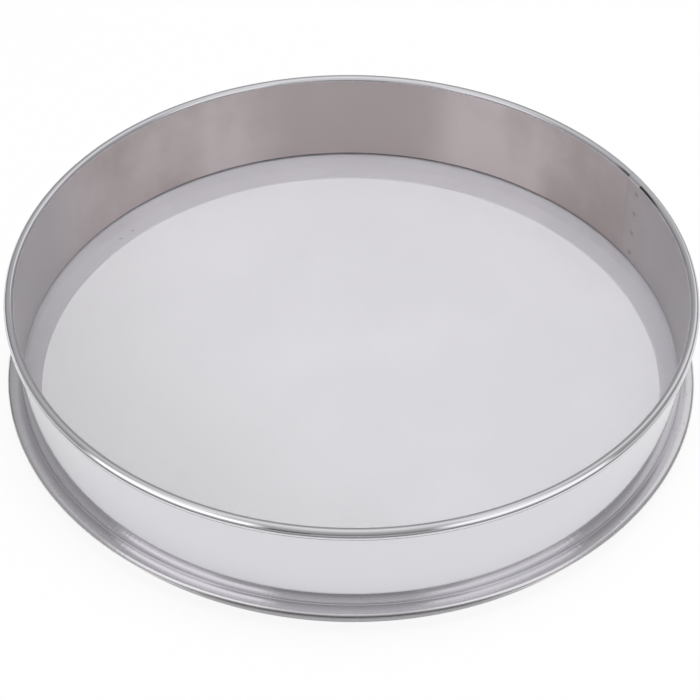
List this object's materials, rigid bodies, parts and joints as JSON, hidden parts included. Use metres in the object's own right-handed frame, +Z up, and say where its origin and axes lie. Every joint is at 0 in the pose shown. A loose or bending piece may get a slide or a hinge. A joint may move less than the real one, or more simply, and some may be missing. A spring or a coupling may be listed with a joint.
{
  "type": "tamis drum sieve",
  "caption": "Round steel drum sieve with a straight wall, rolled rim, crimped foot ring and a flat fine wire screen, for sifting and straining by hand over a bowl.",
  "frame": {"origin": "on the drum's axis, at the flat face that the sieve stands on", "axes": "+Z up along the drum's axis, out of its open mouth; -Y towards the viewer of the picture, +X to the viewer's right"},
  "size_m": [0.3054, 0.3054, 0.056],
  "materials": {
    "polished_sheet": "stainless steel, polished outside and satin inside",
    "base_sheet": "stainless steel, polished",
    "wire_cloth": "fine woven stainless steel wire, dull",
    "drawn_wire": "drawn stainless steel wire",
    "weld_spots": "spot weld marks, dull and darker than the sheet"
  },
  "bodies": {
    "root": {"frame_hoop": "polished_sheet", "rim_wire": "drawn_wire", "mesh_screen": "wire_cloth", "base_ring": "base_sheet", "hoop_spot_welds": "weld_spots", "base_spot_welds": "weld_spots"}
  },
  "joints": []
}
